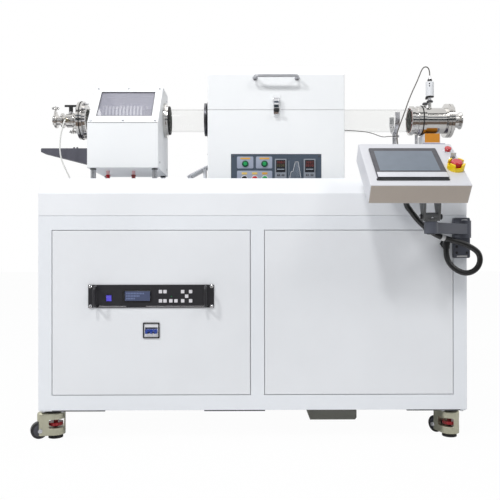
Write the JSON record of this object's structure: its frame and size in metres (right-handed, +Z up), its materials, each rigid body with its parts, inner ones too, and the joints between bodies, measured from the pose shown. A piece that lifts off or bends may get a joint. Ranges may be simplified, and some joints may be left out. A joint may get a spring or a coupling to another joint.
{
  "type": "tube furnace",
  "caption": "Split-lid tube furnace with a coil-wound plasma section, gas and vacuum fittings on a quartz tube, and a tilting console, on a wheeled cabinet.",
  "frame": {"origin": "on the floor, below the middle of the bounding box", "axes": "+X along the quartz tube towards its pump end, +Y from the front to the back, +Z up"},
  "size_m": [1.856, 1.0352, 1.549],
  "materials": {
    "cabinet_frame": "white powder coat",
    "worktop": "white powder coat",
    "left_panel": "white powder coat",
    "right_panel": "white powder coat",
    "rack_unit": "satin black",
    "rack_controls": "glossy keys and display window",
    "breaker_body": "white body in a black frame",
    "underside_box": "dark grey paint",
    "furnace_body": "white powder coat",
    "lower_insulation": "fibrous ceramic board",
    "lower_element": "oxidised resistance wire",
    "control_panel": "dark slate overlay",
    "panel_instruments": "dark instrument cases",
    "quartz_tube": "clear fused quartz",
    "heat_shields": "matt black",
    "coil_box": "white powder coat",
    "coil_window": "clear window pane",
    "rf_coil": "silver-plated copper",
    "tube_flanges": "machined stainless rings",
    "flange_seals": "black fluoro rubber",
    "gas_valve": "polished stainless steel",
    "tapered_bracket": "dark grey paint",
    "vacuum_chamber": "polished stainless steel",
    "pressure_gauge": "stainless steel with a dark cap",
    "tube_stand": "bright steel, orange pad",
    "wall_bracket": "white powder coat",
    "control_hose": "pale corrugated conduit",
    "gas_hose": "white polymer hose",
    "gauge_cable": "black cable",
    "thermocouple_lead": "dark sheathed lead",
    "caster_housing": "champagne cast aluminium",
    "caster_wheel": "black nylon",
    "levelling_foot": "black pad, red thumbwheel",
    "lid_shell": "white powder coat",
    "lid_insulation": "fibrous ceramic board",
    "lid_element": "oxidised resistance wire",
    "lid_handle": "polished bar",
    "draw_latch": "polished latch",
    "push_button_black": "gloss",
    "push_button_red": "gloss",
    "push_button_green": "gloss",
    "rack_rocker": "blue gloss",
    "breaker_toggle": "blue gloss",
    "valve_handle": "black grip",
    "swing_arm": "pale grey paint",
    "arm_head": "bright steel",
    "console_housing": "pale grey paint, yellow guard",
    "touch_screen": "dark bezel round a display",
    "console_button": "red gloss",
    "key_switch": "bright lock with its key",
    "estop_button": "red gloss"
  },
  "bodies": {
    "cabinet": {"cabinet_frame": "cabinet_frame", "worktop": "worktop", "left_panel": "left_panel", "right_panel": "right_panel", "rack_unit": "rack_unit", "rack_controls": "rack_controls", "breaker_body": "breaker_body", "underside_box": "underside_box", "furnace_body": "furnace_body", "lower_insulation": "lower_insulation", "lower_element": "lower_element", "control_panel": "control_panel", "panel_instruments": "panel_instruments", "quartz_tube": "quartz_tube", "heat_shields": "heat_shields", "coil_box": "coil_box", "coil_window": "coil_window", "rf_coil": "rf_coil", "tube_flanges": "tube_flanges", "flange_seals": "flange_seals", "gas_valve": "gas_valve", "tapered_bracket": "tapered_bracket", "vacuum_chamber": "vacuum_chamber", "pressure_gauge": "pressure_gauge", "tube_stand": "tube_stand", "wall_bracket": "wall_bracket", "control_hose": "control_hose", "gas_hose": "gas_hose", "gauge_cable": "gauge_cable", "thermocouple_lead": "thermocouple_lead"},
    "caster_front_left": {"caster_housing_front_left": "caster_housing"},
    "wheel_front_left": {"caster_wheel_front_left": "caster_wheel"},
    "foot_front_left": {"levelling_foot_front_left": "levelling_foot"},
    "caster_front_right": {"caster_housing_front_right": "caster_housing"},
    "wheel_front_right": {"caster_wheel_front_right": "caster_wheel"},
    "foot_front_right": {"levelling_foot_front_right": "levelling_foot"},
    "caster_back_left": {"caster_housing_back_left": "caster_housing"},
    "wheel_back_left": {"caster_wheel_back_left": "caster_wheel"},
    "foot_back_left": {"levelling_foot_back_left": "levelling_foot"},
    "caster_back_right": {"caster_housing_back_right": "caster_housing"},
    "wheel_back_right": {"caster_wheel_back_right": "caster_wheel"},
    "foot_back_right": {"levelling_foot_back_right": "levelling_foot"},
    "furnace_lid": {"lid_shell": "lid_shell", "lid_insulation": "lid_insulation", "lid_element": "lid_element", "lid_handle": "lid_handle"},
    "latch": {"draw_latch": "draw_latch"},
    "button_black": {"push_button_black": "push_button_black"},
    "button_red": {"push_button_red": "push_button_red"},
    "button_green": {"push_button_green": "push_button_green"},
    "rocker": {"rack_rocker": "rack_rocker"},
    "toggle": {"breaker_toggle": "breaker_toggle"},
    "valve_lever": {"valve_handle": "valve_handle"},
    "arm": {"swing_arm": "swing_arm"},
    "head": {"arm_head": "arm_head"},
    "console": {"console_housing": "console_housing", "touch_screen": "touch_screen"},
    "console_knob": {"console_button": "console_button"},
    "key": {"key_switch": "key_switch"},
    "estop": {"estop_button": "estop_button"}
  },
  "joints": [
    {"name": "swivel_front_left", "type": "hinge", "parent": "cabinet", "child": "caster_front_left", "pos_m": [-0.776, -0.144, 0.1], "axis": [0, 0, 1], "continuous": true},
    {"name": "roll_front_left", "type": "hinge", "parent": "caster_front_left", "child": "wheel_front_left", "pos_m": [-0.83219, -0.1702, 0.0345], "axis": [0.4226, -0.9063, 0], "continuous": true},
    {"name": "level_front_left", "type": "slide", "parent": "caster_front_left", "child": "foot_front_left", "axis": [0, 0, 1], "range_m": [0, 0.012]},
    {"name": "swivel_front_right", "type": "hinge", "parent": "cabinet", "child": "caster_front_right", "pos_m": [0.776, -0.144, 0.1], "axis": [0, 0, 1], "continuous": true},
    {"name": "roll_front_right", "type": "hinge", "parent": "caster_front_right", "child": "wheel_front_right", "pos_m": [0.74044, -0.09321, 0.0345], "axis": [-0.8192, -0.5736, 0], "continuous": true},
    {"name": "level_front_right", "type": "slide", "parent": "caster_front_right", "child": "foot_front_right", "axis": [0, 0, 1], "range_m": [0, 0.012]},
    {"name": "swivel_back_left", "type": "hinge", "parent": "cabinet", "child": "caster_back_left", "pos_m": [-0.776, 0.436, 0.1], "axis": [0, 0, 1], "continuous": true},
    {"name": "roll_back_left", "type": "hinge", "parent": "caster_back_left", "child": "wheel_back_left", "pos_m": [-0.83426, 0.45721, 0.0345], "axis": [-0.342, -0.9397, 0], "continuous": true},
    {"name": "level_back_left", "type": "slide", "parent": "caster_back_left", "child": "foot_back_left", "axis": [0, 0, 1], "range_m": [0, 0.012]},
    {"name": "swivel_back_right", "type": "hinge", "parent": "cabinet", "child": "caster_back_right", "pos_m": [0.776, 0.436, 0.1], "axis": [0, 0, 1], "continuous": true},
    {"name": "roll_back_right", "type": "hinge", "parent": "caster_back_right", "child": "wheel_back_right", "pos_m": [0.807, 0.48969, 0.0345], "axis": [-0.866, 0.5, 0], "continuous": true},
    {"name": "level_back_right", "type": "slide", "parent": "caster_back_right", "child": "foot_back_right", "axis": [0, 0, 1], "range_m": [0, 0.012]},
    {"name": "lid_hinge", "type": "hinge", "parent": "cabinet", "child": "furnace_lid", "pos_m": [0.0975, 0.389, 1.308], "axis": [-1, 0, 0], "range_deg": [0, 80]},
    {"name": "latch_pivot", "type": "hinge", "parent": "furnace_lid", "child": "latch", "pos_m": [0.0975, -0.061, 1.35], "axis": [-1, 0, 0], "range_deg": [0, 110]},
    {"name": "press_black", "type": "slide", "parent": "cabinet", "child": "button_black", "axis": [0, 1, 0], "range_m": [0, 0.004], "stiffness_N_per_m": 300, "springref_m": -0.004},
    {"name": "press_red", "type": "slide", "parent": "cabinet", "child": "button_red", "axis": [0, 1, 0], "range_m": [0, 0.004], "stiffness_N_per_m": 300, "springref_m": -0.004},
    {"name": "press_green", "type": "slide", "parent": "cabinet", "child": "button_green", "axis": [0, 1, 0], "range_m": [0, 0.004], "stiffness_N_per_m": 300, "springref_m": -0.004},
    {"name": "rocker_pivot", "type": "hinge", "parent": "cabinet", "child": "rocker", "pos_m": [-0.5535, -0.207, 0.5495], "axis": [1, 0, 0], "range_deg": [-16, 0]},
    {"name": "toggle_pivot", "type": "hinge", "parent": "cabinet", "child": "toggle", "pos_m": [-0.3915, -0.195, 0.425], "axis": [1, 0, 0], "range_deg": [-56, 0]},
    {"name": "valve_turn", "type": "hinge", "parent": "cabinet", "child": "valve_lever", "pos_m": [-0.801, 0.165, 1.38], "axis": [0, 0, 1], "range_deg": [0, 90]},
    {"name": "arm_swing", "type": "hinge", "parent": "cabinet", "child": "arm", "pos_m": [0.8, -0.252, 0.806], "axis": [0, 0, 1], "range_deg": [0, 60]},
    {"name": "head_swivel", "type": "hinge", "parent": "arm", "child": "head", "pos_m": [0.628, -0.404, 0.83], "axis": [0, 0, 1], "range_deg": [0, 30]},
    {"name": "console_tilt", "type": "hinge", "parent": "head", "child": "console", "pos_m": [0.628, -0.404, 0.85], "axis": [1, 0, 0], "range_deg": [0, 20]},
    {"name": "console_press", "type": "slide", "parent": "console", "child": "console_knob", "axis": [0, 0.6157, -0.788], "range_m": [0, 0.003], "stiffness_N_per_m": 300, "springref_m": -0.003},
    {"name": "key_turn", "type": "hinge", "parent": "console", "child": "key", "pos_m": [0.715, -0.37216, 1.06082], "axis": [0, -0.6157, 0.788], "range_deg": [-90, 0]},
    {"name": "estop_press", "type": "slide", "parent": "console", "child": "estop", "axis": [0, 0.6157, -0.788], "range_m": [0, 0.004]}
  ]
}
